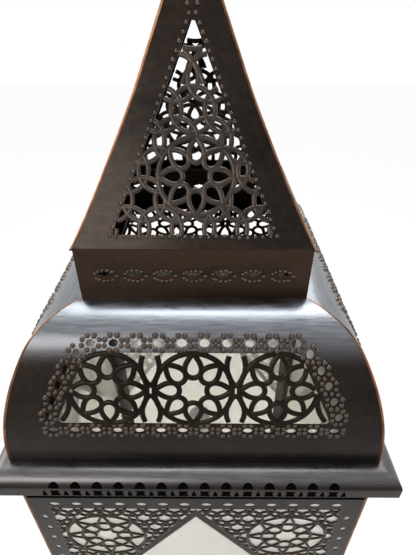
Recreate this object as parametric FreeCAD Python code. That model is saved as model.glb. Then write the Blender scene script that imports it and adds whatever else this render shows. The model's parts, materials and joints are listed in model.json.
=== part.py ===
"""Square lantern floor lamp in pierced, patinated sheet metal.

From the floor up: four bracket feet, a plinth moulding, a tall glazed body under
pierced spandrels cut to a pointed arch, a quarter-round cornice, a domed roof, a
collar, a bowed spire and a faceted finial.  The rear of the body is a door on two
lift-off hinges with a turn latch.  Inside, a standpipe carries the lamp holder
and a stick-shaped bulb.

Millimetres.  +Z is up, the front faces -Y, and the origin is the centre of the
footprint on the floor.
"""
import FreeCAD
import Part
import math
import os

V = FreeCAD.Vector
os.makedirs("parts", exist_ok=True)

# ---- driving sizes -------------------------------------------------------
sheet = 1.2                # thickness of the pierced sheet
seam = 1.2                 # thickness of the standing seam at each corner
seam_proud = 1.6           # how far a seam stands out of the sheets
clear = 0.5                # gap round the door
strip = 4.6                # width of the metal left between pierced holes

foot_height = 40.0
foot_inset = 12.0          # foot's face in from the plinth's
foot_width = 64.0
foot_wall = 3.0

plinth_reach = 21.0        # how far the plinth stands out from the body
plinth_height = 62.0
plinth_round = 21.0        # height of the moulding's rounded shoulder
plate_thick = 2.0

body_half = 208.0
body_height = 650.0
arch_apex_drop = 89.0      # arch apex below the cornice
arch_foot_drop = 373.0     # where the arch runs out at the corners, below the cornice
arch_margin = 8.0          # plain strip beside the arch there
arch_band = 9.0            # plain edge along the arch
border = 26.0              # plain border beside the piercing
head_band = 79.0           # plain band over the piercing
apron_height = 86.0

cornice_reach = 21.0       # how far the cornice stands out from the body
cornice_height = 29.0
cornice_lip = 13.0         # upright edge under the quarter round
cornice_ledge = 4.0        # flat margin between dome and quarter round
soffit_width = 24.0        # how far the soffit reaches inside the body
tooth_count = 14           # slots along the cornice
tooth_margin = 63.0        # plain end of the row of slots
tooth_gap = 11.0           # metal between slots

dome_setback = 2.0         # how far the dome stands in from the body
dome_height = 167.0
crown_share = 0.675        # radius of the crown arc, as a share of the dome's overhang
crown_flats = 3            # flats in the crown arc
flank_flats = 3            # flats in the flank arc

collar_half = 120.0
collar_height = 60.0
collar_flange = 17.0
flange_proud = 2.0         # how far the spire's flange stands out
slot_count = 7             # lens slots on each side of the collar
slot_margin = 29.0
slot_wide = 17.0
slot_high = 7.0

spire_height = 258.0
spire_tip_half = 9.0
bend_low = 58.0            # the spire's sides bend here and again higher up
bend_low_half = 90.5
bend_high = 153.0
bend_high_half = 47.6

post_leg = 14.0
post_wall = 1.5
glass_thick = 3.0

door_rail = 24.0           # width of the door frame's bars
door_bar = 2.0             # how far the frame stands behind the pane
door_rebate = 6.0          # how far the pane sits into the frame
hinge_length = 46.0
hinge_foot = 30.0          # lower hinge above the foot of the body
hinge_head = 150.0         # upper hinge below the cornice
hinge_leaf = 16.0
knuckle_radius = 3.0
hinge_pin_radius = 1.5
hinge_bore_clear = 0.05

spindle_radius = 2.5
spindle_clear = 0.05
tongue_clear = 0.3
stop_width = 8.0           # how far the rear posts reach across the door's edge

finial_ball = 18.0         # radius
finial_spike = 62.0        # length

pipe_half = 6.0            # half width of the square standpipe
stem_flange = 20.0         # half width of the foot plate
holder_radius = 21.0
holder_height = 58.0
cap_radius = 13.0
cap_length = 30.0
bulb_radius = 19.0
bulb_length = 120.0
bulb_top_drop = 150.0      # bulb's top below the cornice
gland_radius = 5.0
gland_height = 18.0

# ---- sizes that follow -----------------------------------------------------
plinth_half = body_half + plinth_reach
cornice_half = body_half + cornice_reach
dome_half = body_half - dome_setback
soffit_in = body_half - soffit_width
arch_toe = body_half - arch_margin
border_in = body_half - border
arch_slope = (arch_foot_drop - arch_apex_drop) / arch_toe
dome_crown_radius = crown_share * (dome_half - collar_half)
pane_back = body_half - sheet - glass_thick

# ---- levels --------------------------------------------------------------
z_plinth = foot_height
z_body = z_plinth + plinth_height
z_cornice = z_body + body_height
z_dome = z_cornice + cornice_height
z_wall = z_dome - sheet      # the walls run up behind the cornice to its ledge
z_collar = z_dome + dome_height
z_spire = z_collar + collar_height
z_tip = z_spire + spire_height

SIDES = ("front", "right", "back", "left")
FAR = 400.0                # longer than any half width, for cutting tools


# ---- helpers -------------------------------------------------------------
def write(name, *solids):
    """Writes one or more solids as the node of that name."""
    shape = solids[0] if len(solids) == 1 else Part.makeCompound(solids)
    shape.exportStep(f"parts/{name}.step")


def turned(shape, side):
    """The front shape, carried round the lamp to the side of that number."""
    copy = shape.copy()
    copy.rotate(V(0, 0, 0), V(0, 0, 1), 90.0 * side)
    return copy


def block(x0, x1, y0, y1, z0, z1):
    return Part.makeBox(x1 - x0, y1 - y0, z1 - z0, V(x0, y0, z0))


def outline(points):
    """A closed polygon in the XZ plane."""
    places = [V(x, 0, z) for x, z in points]
    return Part.makePolygon(places + places[:1])


def inset(points, gap):
    """The corners of a counter-clockwise polygon moved in by gap from every side."""
    moved = []
    for before, here, after in zip(points[-1:] + points[:-1], points, points[1:] + points[:1]):
        ax, az = here[0] - before[0], here[1] - before[1]
        bx, bz = after[0] - here[0], after[1] - here[1]
        la, lb = math.hypot(ax, az), math.hypot(bx, bz)
        nx, nz = -az / la - bz / lb, ax / la + bx / lb
        scale = gap / (1 + (ax * bx + az * bz) / (la * lb))
        moved.append((here[0] + nx * scale, here[1] + nz * scale))
    return moved


def punch(points):
    """A prism that pierces the front sheet along a polygon."""
    if turns_clockwise(points):
        points = points[::-1]
    face = Part.Face(outline(points))
    face.translate(V(0, -FAR, 0))
    return face.extrude(V(0, FAR, 0))


def cutter(points):
    """Pierces the front sheet, leaving half a strip of metal on every side of a polygon."""
    if turns_clockwise(points):
        points = points[::-1]
    return punch(inset(points, strip / 2))


def turns_clockwise(points):
    """Whether a polygon's corners run clockwise, seen from the front."""
    pairs = zip(points, points[1:] + points[:1])
    return sum(a[0] * b[1] - b[0] * a[1] for a, b in pairs) < 0


def polar(cx, cz, radius, degrees, squash=1.0):
    a = math.radians(degrees)
    return (cx + radius * math.cos(a), cz + radius * squash * math.sin(a))


def flower(cx, cz, outer, eye, squash=1.0):
    """The tips and roots of eight pointed petals, and the holes of the eye and the petals."""
    tips = [polar(cx, cz, outer, 45.0 * k, squash) for k in range(9)]
    roots = [polar(cx, cz, eye, 45.0 * (k - 0.5), squash) for k in range(10)]
    holes = [cutter(roots[:8])] + [cutter([roots[k], roots[k + 1], tips[k]]) for k in range(8)]
    return tips, roots, holes


def rosette(cx, cz, outer, eye, squash=1.0):
    """A flower whose petals stand in a ring."""
    tips, roots, holes = flower(cx, cz, outer, eye, squash)
    return holes + [cutter([roots[k + 1], tips[k], tips[k + 1]]) for k in range(8)]


def lozenge(cx, cz, wide, high):
    return [(cx + wide / 2, cz), (cx, cz + high / 2), (cx - wide / 2, cz), (cx, cz - high / 2)]





def row(x0, z0, x1, z1, count, wide, high):
    """Small lozenge holes evenly spaced from one place to another."""
    share = [k / (count - 1) for k in range(count)]
    return [punch(lozenge(x0 + (x1 - x0) * t, z0 + (z1 - z0) * t, wide, high)) for t in share]


def mirrored(holes):
    """The holes and their mirror images across the middle of the panel."""
    return holes + [h.mirror(V(0, 0, 0), V(1, 0, 0)) for h in holes]


def wedge(z0, z1, gap):
    """The quarter of the plan that belongs to the front, short of each diagonal by gap."""
    apex = -gap * math.sqrt(2)
    corners = [V(0, apex, z0), V(-FAR, apex - FAR, z0), V(FAR, apex - FAR, z0), V(0, apex, z0)]
    return Part.Face(Part.makePolygon(corners)).extrude(V(0, 0, z1 - z0))


def mitred(profile_face, z0, z1, gap):
    """A front length of moulding or sheet, from its section in the YZ plane."""
    length = profile_face.copy()
    length.translate(V(-FAR, 0, 0))
    return length.extrude(V(2 * FAR, 0, 0)).common(wedge(z0, z1, gap))


def section(edges):
    return Part.Face(Part.Wire(edges))


def corner_seams(profile_face):
    """Four upright ribs on the diagonals, from a section drawn in the YZ plane."""
    rib = profile_face.copy()
    rib.translate(V(-seam / 2, 0, 0))
    rib = rib.extrude(V(seam, 0, 0))
    rib.rotate(V(0, 0, 0), V(0, 0, 1), 45)
    return [turned(rib, k) for k in range(4)]


def revolve(points):
    """A turned solid about the lamp's axis, from (radius, height) points."""
    wire = Part.makePolygon([V(r, 0, z) for r, z in points + points[:1]])
    return Part.Face(wire).revolve(V(0, 0, 0), V(0, 0, 1), 360)


def faceted(points, sides=8):
    """A many-sided solid through (height, radius) rings, closed flat at both ends."""
    rings = []
    for height, radius in points:
        corners = [polar(0, 0, radius, 360.0 * (k + 0.5) / sides) for k in range(sides)]
        rings.append([V(x, y, height) for x, y in corners])
    faces = [Part.Face(Part.makePolygon(ring + ring[:1])) for ring in (rings[0], rings[-1])]
    for low, high in zip(rings, rings[1:]):
        for k in range(sides):
            n = (k + 1) % sides
            faces.append(Part.Face(Part.makePolygon([low[k], low[n], high[n], high[k], low[k]])))
    return Part.makeSolid(Part.makeShell(faces))


# ---- spire ---------------------------------------------------------------
def spire_stations(offset, spread=1.0):
    """The spire's edge in section, moved in by offset: three flats with soft bends between."""
    places = []
    for up, half in ((0.0, collar_half), (bend_low, bend_low_half), (bend_high, bend_high_half),
                     (spire_height, spire_tip_half)):
        places.append(V(0, -(half - offset) * spread, z_spire + up))
    return places


def spire_section(out, back, spread=1.0):
    return ribbon(spire_stations(-out, spread), spire_stations(back, spread))


def ribbon(outside, inside):
    """A face between two rows of places."""
    ring = outside + inside[::-1]
    return Part.Face(Part.makePolygon(ring + ring[:1]))


def spire_piercing():
    """A flower low in a tall triangle, with linked cells round it and up to the point."""
    base, peak, half = 0.048 * spire_height, 0.744 * spire_height, 0.675 * collar_half
    radius, eye, squash = 0.325 * collar_half, 0.117 * collar_half, 0.89
    tips, roots, holes = flower(0, z_spire + bend_low, radius, eye, squash)

    def at(x, z):
        """A place in shares of the collar's half width and of the spire's height."""
        return (x * collar_half, z_spire + z * spire_height)

    def edge(z, side=-1):
        z *= spire_height
        return (side * half * (peak - z) / (peak - base), z_spire + z)

    foot, mid, knot, web = edge(0.048), at(-0.42, 0.048), at(-0.43, 0.13), at(-0.11, 0.437)
    near, far = at(-0.16, 0.048), at(0.16, 0.048)
    crest, crown = at(0, 0.496), at(0, 0.593)
    side = [
        [roots[3], tips[2], web, tips[3]],
        [roots[4], tips[3], edge(0.31), tips[4]],
        [roots[5], tips[4], knot, tips[5]],
        [roots[6], tips[5], near, tips[6]],
        [tips[4], edge(0.31), edge(0.175), knot],
        [knot, edge(0.175), foot, mid],
        [tips[5], knot, mid, near],
        [tips[3], web, edge(0.426), edge(0.31)],
        [web, crest, edge(0.52), edge(0.426)],
        [edge(0.52), crown, edge(0.62)],
    ]
    centre = [
        [tips[6], near, far],
        [tips[2], (-web[0], web[1]), crest, web],
        [crest, edge(0.52, 1), crown, edge(0.52)],
        [crown, edge(0.62, 1), at(0, 0.744), edge(0.62)],
    ]
    return holes + mirrored([cutter(c) for c in side]) + [cutter(c) for c in centre]


def make_spire():
    panel = mitred(spire_section(0, sheet), z_spire, z_tip, seam / 2).cut(spire_piercing())
    for k, side in enumerate(SIDES):
        write(f"spire_panel_{side}", turned(panel, k))
    write("spire_corner_seams", *corner_seams(spire_section(seam_proud, sheet, math.sqrt(2))))


# ---- collar --------------------------------------------------------------
def make_collar():
    """A folded band with a flange at its foot and a wider one for the spire at its head."""
    low = square_ring(collar_half, collar_half - collar_flange, z_collar - sheet, z_collar)
    rim = collar_half + flange_proud
    high = square_ring(rim, collar_half - collar_flange, z_spire - sheet, z_spire)
    wall = square_ring(collar_half, collar_half - sheet, z_collar, z_spire - sheet)
    reach, level = collar_half - slot_margin, z_collar + collar_height / 2
    slots = row(-reach, level, reach, level, slot_count, slot_wide, slot_high)
    band = wall.cut([turned(slot, k) for k in range(4) for slot in slots])
    write("collar_band", band.fuse([low, high]).removeSplitter())


def section_block(near, far, z0, z1):
    """A rectangle in the YZ plane between two distances from the axis, on the front side."""
    corners = [V(0, -near, z0), V(0, -far, z0), V(0, -far, z1), V(0, -near, z1), V(0, -near, z0)]
    return Part.Face(Part.makePolygon(corners))


def square_ring(outer, inner, z0, z1):
    return block(-outer, outer, -outer, outer, z0, z1).cut(block(-inner, inner, -inner, inner, z0, z1))


# ---- dome ----------------------------------------------------------------
def dome_stations(offset, spread=1.0):
    """The dome's edge in section: a tight crown arc and a long flank arc, each in flats."""
    wide, high, crown_r = dome_half - collar_half, dome_height, dome_crown_radius
    flank_r = (wide ** 2 + (high - crown_r) ** 2 - crown_r ** 2) / (2 * (wide - crown_r))
    lean = math.atan2(high - crown_r, flank_r - wide)
    places = []
    for k in range(crown_flats):
        angle = math.pi / 2 + (lean - math.pi / 2) * k / crown_flats
        r = crown_r - offset
        places.append((r * math.cos(angle), high - crown_r + r * math.sin(angle)))
    for k in range(flank_flats + 1):
        angle = lean * (1 - k / flank_flats)
        r = flank_r - offset
        places.append((wide - flank_r + r * math.cos(angle), r * math.sin(angle)))
    return [V(0, -(collar_half + out) * spread, z_dome + up) for out, up in places]


def dome_section(out, back, spread=1.0):
    return ribbon(dome_stations(-out, spread), dome_stations(back, spread))


def dome_piercing():
    """Three rosettes in a row, the webs between them and the window's sloping ends."""
    radius, pitch, squash = 0.194 * dome_half, 0.425 * dome_half, 0.92
    level, reach = z_dome + 0.584 * dome_height, 0.23 * dome_height
    holes = []
    for k in (-1, 0, 1):
        holes += rosette(k * pitch, level, radius, 0.39 * radius, squash)
    cells = []
    shoulder = radius * math.sqrt(0.5)
    for up in (-1, 1):
        line, low = level + up * reach, level + up * shoulder * squash
        cells.append([(-pitch / 2, level + up * strip / 2), (-shoulder, low), (-pitch / 2, line),
                      (shoulder - pitch, low)])
    foot = level - reach
    cells.append([(-1.47 * pitch, level), (-pitch - shoulder, level - shoulder * squash),
                  (-1.4 * pitch, foot), (-1.65 * pitch, foot)])
    return holes + mirrored([cutter(c) for c in cells])


def make_dome():
    panel = mitred(dome_section(0, sheet), z_dome, z_collar, seam / 2).cut(dome_piercing())
    for k, side in enumerate(SIDES):
        write(f"dome_panel_{side}", turned(panel, k))
    write("dome_corner_seams", *corner_seams(dome_section(seam_proud, sheet, math.sqrt(2))))


# ---- cornice -------------------------------------------------------------
def moulding(half, z_low, z_top, round_height, inner, reach):
    """A sheet moulding: upright lip below, quarter round above, flat ledge at the top."""
    shoulder = z_top - round_height
    depth = half - inner

    def line(offset, reach):
        lip = V(0, -(half - offset), z_low)
        edge = V(0, -(half - offset), shoulder)
        top = V(0, -inner, z_top - offset)
        bow = math.sqrt(0.5)
        middle = V(0, -(inner + (depth - offset) * bow), shoulder + (round_height - offset) * bow)
        end = V(0, -reach, z_top - offset)
        return [lip, end], [Part.makeLine(lip, edge), Part.Arc(edge, middle, top).toShape(),
                            Part.makeLine(top, end)]

    (lip_a, end_a), outside = line(0, reach)
    (lip_b, end_b), inside = line(sheet, reach)
    return section(outside + [Part.makeLine(end_a, end_b)] + inside[::-1] + [Part.makeLine(lip_b, lip_a)])


def make_cornice():
    face = moulding(cornice_half, z_cornice, z_dome, cornice_height - cornice_lip,
                    dome_half + cornice_ledge, dome_half - sheet)
    reach = cornice_half - tooth_margin
    pitch = 2 * reach / tooth_count
    half = (pitch - tooth_gap) / 2
    low, high = z_cornice + 0.15 * cornice_lip, z_cornice + 0.92 * cornice_lip
    middles = [(k + 0.5) * pitch - reach for k in range(tooth_count)]
    teeth = [punch([(x - half, low), (x + half, low), (x, high)]) for x in middles]
    rail = mitred(face, z_cornice, z_dome, 0).cut(teeth)
    for k, side in enumerate(SIDES):
        write(f"cornice_rail_{side}", turned(rail, k))
    write("cornice_soffit", square_ring(pane_back, soffit_in, z_wall - sheet, z_wall))


# ---- body ----------------------------------------------------------------
def spandrel_outline(half, toe, top):
    """The sheet over the arch: a straight head whose sides taper down to a toe at each corner."""
    apex, foot = z_cornice - arch_apex_drop, z_cornice - arch_foot_drop
    return outline([(-half, foot), (-toe, foot), (0, apex), (toe, foot), (half, foot),
                    (half, top), (-half, top)])


def spandrel_piercing():
    """A flower in each spandrel, tied by its tips to the linked cells that fill the rest."""
    cx = 0.582 * body_half
    radius = border_in - cx
    drop, band = head_band + radius, arch_band * math.hypot(1, arch_slope)
    tips, roots, holes = flower(-cx, z_cornice - drop, radius, 0.35 * radius)

    def at(x, below):
        return (-x * body_half, z_cornice - below)

    def arch(x):
        return at(x, arch_apex_drop - band + arch_slope * x * body_half)

    side, rest = border_in / body_half, arch_foot_drop - drop
    corner, hip = at(side, head_band), at(side, drop + 0.26 * rest)
    top, knot, leg = at(0.2, head_band), at(0.235, drop - 0.42 * radius), at(0.74, drop + 0.38 * rest)
    cells = [
        [roots[1], tips[0], knot, tips[1]],
        [roots[2], tips[1], at(0.4, head_band), tips[2]],
        [roots[3], tips[2], corner, tips[3]],
        [roots[4], tips[3], corner, tips[4]],
        [roots[5], tips[4], hip, tips[5]],
        [roots[6], tips[5], leg, tips[6]],
        [roots[7], tips[6], arch(0.52), tips[7]],
        [roots[8], tips[7], arch(0.26), tips[0]],
        [tips[1], at(0.4, head_band), top, knot],
        [top, at(0.02, head_band), arch(0.12), knot],
        [knot, arch(0.12), arch(0.26), tips[0]],
        [tips[6], leg, arch(0.64), arch(0.52)],
        [tips[5], hip, leg],
        [leg, hip, at(side, drop + 0.62 * rest), arch(0.76)],
        [leg, arch(0.76), arch(0.64)],
    ]
    return mirrored(holes + [cutter(c) for c in cells])


def spandrel_sheet(half, toe, top):
    """A spandrel, front side, before its edges are fitted."""
    face = Part.Face(spandrel_outline(half, toe, top))
    face.translate(V(0, -body_half, 0))
    return face.extrude(V(0, sheet, 0)).cut(spandrel_piercing())


def apron_sheet(half):
    """The low band at the foot of the body, its top edge cut to a shallow pointed arch."""
    z0, z1 = z_body, z_body + apron_height
    dip = z_body + apron_height * 0.45
    face = Part.Face(outline([(-half, z0), (half, z0), (half, z1), (0, dip), (-half, z1)]))
    face.translate(V(0, -body_half, 0))
    return face.extrude(V(0, sheet, 0))


def pane(half, z0, z1):
    outer = body_half - sheet
    return block(-half, half, -outer, -outer + glass_thick, z0, z1)


def retainers(half, z0, z1):
    """Flat bars behind a pane's top and bottom edges that hold it forward."""
    behind = -body_half + sheet + glass_thick
    inner = half - 24.0
    return [block(-inner, inner, behind, behind + 1.5, z, z + 14.0) for z in (z0, z1 - 14.0)]


def make_body():
    z0, z1 = z_body, z_wall
    corner = wedge(z0, z1, seam / 2)
    # the side sheets run on to the rear face, where the door closes between them
    keep = block(-FAR, FAR, -FAR, body_half - clear, z0, z1).cut(wedge(z0, z1, -seam / 2))
    sheets = {"spandrel": spandrel_sheet(body_half, arch_toe, z_wall), "apron": apron_sheet(body_half)}
    for name, whole in sheets.items():
        write(f"{name}_front", whole.common(corner))
        for side, k in (("right", 1), ("left", 3)):
            write(f"{name}_{side}", turned(whole, k).common(keep))
    ribs = section_block((body_half - sheet) * math.sqrt(2), (body_half + 0.9) * math.sqrt(2),
                         z_cornice - arch_foot_drop, z1)
    write("spandrel_corner_seams", *[s for k, s in enumerate(corner_seams(ribs)) if k in (0, 3)])
    inside = pane_back
    front = pane(body_half - sheet, z0, z1)
    write("glass_pane_front", front)
    glass = block(-inside, body_half - clear, -body_half + sheet, -inside, z0, z1)
    write("glass_pane_right", turned(glass, 1))
    write("glass_pane_left", turned(glass.mirror(V(0, 0, 0), V(1, 0, 0)), 3))
    write("glass_retainers", *[turned(bar, k) for k in (0, 1, 3) for bar in retainers(inside, z0, z1 - sheet)])
    make_posts(z0, z1 - sheet)
    make_door(z0 + 3 * clear, z_cornice - 3 * clear)


def stop_back():
    """The outer face of the rear posts' flanges, just inside the closed door."""
    return pane_back - door_bar - clear


def make_posts(z0, z1):
    """Angle posts behind the glass; the rear pair, each two welded bars, stop the door."""
    face = pane_back
    leg = block(-face, -face + post_leg, -face, -face + post_wall, z0, z1)
    other = block(-face, -face + post_wall, -face, -face + post_leg, z0, z1)
    post = leg.fuse(other).removeSplitter()
    write("corner_post_front_left", post)
    write("corner_post_front_right", post.mirror(V(0, 0, 0), V(1, 0, 0)))
    back = stop_back()
    flange = block(face - stop_width, face, back - post_wall, back, z0, z1)
    web = block(face - post_wall, face, back - post_leg, back - post_wall, z0, z1)
    bars = [flange, web]
    write("corner_post_rear_right", *bars)
    write("corner_post_rear_left", *[bar.mirror(V(0, 0, 0), V(1, 0, 0)) for bar in bars])
    write("door_header", block(-face, face, back, body_half, z_cornice, z1))


# ---- door ----------------------------------------------------------------
def hinge_axis():
    return body_half + knuckle_radius, body_half + knuckle_radius


def make_door(z0, z1):
    """The rear panel: sheet, pane and a bar frame behind them, hung at the right."""
    half = pane_back - clear
    limit = block(-half, half, -FAR, FAR, z0, z1)
    write("door_spandrel", turned(spandrel_sheet(half, half - clear, z1).common(limit), 2))
    write("door_apron", turned(apron_sheet(half).common(limit), 2))
    front, behind = body_half - sheet, pane_back
    hole, lap = door_rail, door_rail - door_rebate
    light = block(-half + hole, half - hole, 0, FAR, z0 + hole, z1 - hole)
    rebate = block(-half + lap, half - lap, behind, front, z0 + lap, z1 - lap)
    write("door_glass_pane", rebate)
    knob_x, knob_z = -half + (stop_width + lap) / 2, z_body + body_height * 0.3
    bore = Part.makeCylinder(spindle_radius + spindle_clear, FAR, V(knob_x, 0, knob_z), V(0, 1, 0))
    frame = block(-half, half, behind - door_bar, front, z0, z1).cut([light, rebate, bore])
    write("door_frame", frame)
    make_latch(knob_x, knob_z, stop_back())
    make_hinges()


def make_latch(knob_x, knob_z, stop_back):
    """A turn knob on the door; its tongue swings behind the rear left post."""
    front = body_half - sheet
    tongue_face = stop_back - post_wall - tongue_clear
    knob = faceted([(0, 4.0), (1.0, 4.0), (6.0, 8.5), (9.0, 9.0), (12.5, 6.5), (14.0, 3.0)])
    knob = knob.fuse(Part.makeCylinder(spindle_radius, front - tongue_face, V(0, 0, tongue_face - front)))
    knob.rotate(V(0, 0, 0), V(1, 0, 0), -90)
    knob.translate(V(knob_x, front, knob_z))
    write("latch_knob", knob.removeSplitter())
    reach = knob_x + pane_back - post_wall - 4 * tongue_clear
    tongue = block(knob_x - 4, knob_x + 4, tongue_face - 2, tongue_face, knob_z - 5, knob_z + reach)
    write("latch_tongue", tongue)


def make_hinges():
    """Two lift-off hinges at the rear right: a fixed block with a pin, and the door's knuckle."""
    x, y = hinge_axis()
    half = hinge_length / 2
    fixed, moving, pins = [], [], []
    for z in (z_body + hinge_foot, z_cornice - hinge_head - hinge_length):
        lower = block(body_half, x + knuckle_radius, y - knuckle_radius, y + knuckle_radius, z, z + half - 0.2)
        upper = Part.makeCylinder(knuckle_radius, half - 0.2, V(x, y, z + half + 0.2))
        free_bore = Part.makeCylinder(hinge_pin_radius + hinge_bore_clear, hinge_length, V(x, y, z))
        side_leaf = block(body_half, body_half + sheet, body_half - hinge_leaf, y, z, z + half - 0.2)
        door_leaf = block(body_half - hinge_leaf, x, body_half, body_half + sheet,
                          z + half + 0.2, z + hinge_length)
        fixed.append(side_leaf.fuse(lower).removeSplitter())
        moving.append(door_leaf.fuse(upper).cut(free_bore).removeSplitter())
        pins.append(Part.makeCylinder(hinge_pin_radius, half + 0.2, V(x, y, z + half - 0.2)))
    write("hinge_leaves_fixed", *fixed)
    write("hinge_leaves_door", *moving)
    write("hinge_pins", *pins)


# ---- plinth and feet -----------------------------------------------------
def make_plinth():
    face = moulding(plinth_half, z_plinth, z_body, plinth_round, body_half + 1.0, soffit_in)
    rail = mitred(face, z_plinth, z_body, 0)
    inlet = Part.makeCylinder(gland_radius, FAR, V(0, 0, z_plinth + gland_height), V(0, 1, 0))
    for k, side in enumerate(SIDES):
        piece = turned(rail, k)
        write(f"plinth_rail_{side}", piece.cut(inlet) if side == "back" else piece)
    inside = plinth_half - sheet
    write("base_plate", block(-inside, inside, -inside, inside, z_plinth, z_plinth + plate_thick))
    for k, name in enumerate(("front_left", "front_right", "rear_right", "rear_left")):
        write(f"foot_{name}", turned(bracket_foot(), k))
    gland = hex_ring(gland_radius * 2, gland_radius, 0, gland_radius)
    gland.rotate(V(0, 0, 0), V(1, 0, 0), 90)
    gland.translate(V(0, inside, z_plinth + gland_height))
    write("cable_gland", gland)


def hex_ring(across_corners, bore, z0, height):
    """A six-sided nut standing on z0."""
    points = [polar(0, 0, across_corners, 60.0 * k) for k in range(6)]
    places = [V(x, y, z0) for x, y in points]
    nut = Part.Face(Part.makePolygon(places + places[:1])).extrude(V(0, 0, height))
    return nut.cut(Part.makeCylinder(bore, height, V(0, 0, z0)))


def bracket_foot():
    """A folded corner foot, front left, each wing cut away to an ogee on its inner side."""
    out, h = plinth_half - foot_inset, foot_height
    w = foot_width
    wing = outline([(-out, 0), (-out + w * 0.4, 0), (-out + w * 0.55, h * 0.55),
                    (-out + w, h * 0.8), (-out + w, h), (-out, h)])
    face = Part.Face(wing)
    face.translate(V(0, -out, 0))
    front = face.extrude(V(0, foot_wall, 0))
    other = front.mirror(V(0, 0, 0), V(1, -1, 0))
    return front.fuse(other).removeSplitter()


# ---- lamp ----------------------------------------------------------------
def make_lamp():
    """Square standpipe on a foot plate, the lamp holder on top and a stick-shaped bulb in it."""
    bulb_foot = z_cornice - bulb_top_drop - bulb_length
    seat, foot = bulb_foot - cap_length, bulb_foot - holder_height
    base, f, p, wall = z_plinth + plate_thick, stem_flange, pipe_half, 3.0
    plate = block(-f, f, -f, f, base, base + wall)
    pipe = block(-p, p, -p, p, base + wall, foot)
    holder = Part.makeCylinder(holder_radius, holder_height, V(0, 0, foot))
    pocket = Part.makeCylinder(holder_radius - wall, cap_length, V(0, 0, seat))
    write("lamp_stem", plate.fuse([pipe, holder.cut(pocket)]).removeSplitter())
    top, br = bulb_foot + bulb_length, bulb_radius
    write("stick_bulb", faceted([(seat, cap_radius), (bulb_foot + 2, cap_radius), (bulb_foot + 14, br),
                                 (top - 6, br), (top, br - 6)], 12))


# ---- finial --------------------------------------------------------------
def make_finial():
    """A cup over the panels' tips, and the faceted ball and spike that it carries."""
    write("finial_cup", faceted([(z_tip, 13.0), (z_tip + 3, 14.0), (z_tip + 9, 8.0), (z_tip + 14, 7.0)]))
    foot, r = z_tip + 14, finial_ball
    neck = foot + 1.5 * r
    write("finial", faceted([(foot, 7.0), (foot + r * 0.3, r * 0.85), (foot + r * 0.75, r),
                             (foot + r * 1.2, r * 0.85), (neck, 5.0), (neck + 4, 4.0), (neck + 11, 9.5),
                             (neck + 18, 4.0), (neck + 24, 4.5), (neck + finial_spike, 1.0)]))


make_spire()
make_collar()
make_dome()
make_cornice()
make_body()
make_plinth()
make_lamp()
make_finial()
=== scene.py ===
"""Looks of the square lantern floor lamp: pierced, patinated sheet over frosted glass."""
import json
import math
import random

import bpy
import numpy as np
from mathutils import Matrix, Vector


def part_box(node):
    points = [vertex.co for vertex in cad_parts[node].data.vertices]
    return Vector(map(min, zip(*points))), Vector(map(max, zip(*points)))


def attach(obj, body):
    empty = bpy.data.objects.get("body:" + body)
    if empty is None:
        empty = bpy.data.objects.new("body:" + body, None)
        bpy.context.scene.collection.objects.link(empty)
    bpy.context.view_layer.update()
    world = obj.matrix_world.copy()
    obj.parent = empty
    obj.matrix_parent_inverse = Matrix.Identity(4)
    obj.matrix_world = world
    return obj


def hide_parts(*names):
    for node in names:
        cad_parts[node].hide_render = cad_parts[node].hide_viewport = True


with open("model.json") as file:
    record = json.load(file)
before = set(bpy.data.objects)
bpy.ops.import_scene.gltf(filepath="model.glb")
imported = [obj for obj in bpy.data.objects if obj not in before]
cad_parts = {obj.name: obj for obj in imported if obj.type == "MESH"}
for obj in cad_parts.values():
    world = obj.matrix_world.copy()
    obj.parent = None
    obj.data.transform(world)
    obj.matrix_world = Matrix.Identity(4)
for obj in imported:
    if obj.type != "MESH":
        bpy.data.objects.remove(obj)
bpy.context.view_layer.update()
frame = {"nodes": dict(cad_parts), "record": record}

MM = 0.001
SIDES = ("front", "right", "back", "left")
rng = random.Random(7)

# ---- sizes in millimetres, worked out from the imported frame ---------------
def edges(node):
    """A CAD node's lowest and highest corners in millimetres."""
    low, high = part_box(node)
    return [v / MM for v in low], [v / MM for v in high]


dome_low, dome_high = edges("dome_panel_front")
spire_low, spire_high = edges("spire_panel_front")
collar_low, _ = edges("collar_band")
cornice_low, cornice_high = edges("cornice_rail_front")
spandrel_low, _ = edges("spandrel_front")

SHEET = 1.2
Z_DOME, DOME_H = dome_low[2], dome_high[2] - dome_low[2]
DOME_HALF, COLLAR_HALF = -dome_low[1], -dome_high[1]
Z_SPIRE, SPIRE_H = spire_low[2], spire_high[2] - spire_low[2]
SPIRE_TIP = -spire_high[1] + SHEET
Z_CORNICE, CORNICE_H = cornice_low[2], cornice_high[2] - cornice_low[2]
CORNICE_HALF, BODY_HALF = -cornice_low[1], -spandrel_low[1]
DOME_CROWN_R = 58.0
# height above the collar and half width of the spire, which is drawn in a little in its middle
SPIRE_BENDS = ((0.0, COLLAR_HALF), (31.0, 103.2), (58.0, 89.8), (87.0, 76.0), (111.0, 64.7),
               (132.0, 55.2), (153.0, 46.8), (178.0, 36.8), (203.0, 26.8), (SPIRE_H, SPIRE_TIP))
CORNICE_LIP = 13.0
LIP_START = 0.83
CORNICE_LEDGE = 4.0
CORNICE_IN = DOME_HALF + CORNICE_LEDGE
# the arch: depths of its point and its legs under the cornice's foot, and its half width there
ARCH_APEX, ARCH_FOOT, ARCH_TOE = 89.0, 373.0, 200.0


# ---- surfaces: each maps (x, s) on a front panel to a place and a normal ---
class Flat:
    """A vertical sheet; s is the height above z0."""

    def __init__(self, half, z0):
        self.half, self.z0 = half, z0

    def at(self, x, s):
        x, s = np.broadcast_arrays(np.asarray(x, float), np.asarray(s, float))
        place = np.stack([x, np.full_like(x, -self.half), self.z0 + s], -1)
        normal = np.broadcast_to([0.0, -1.0, 0.0], place.shape)
        return place, normal


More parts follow.
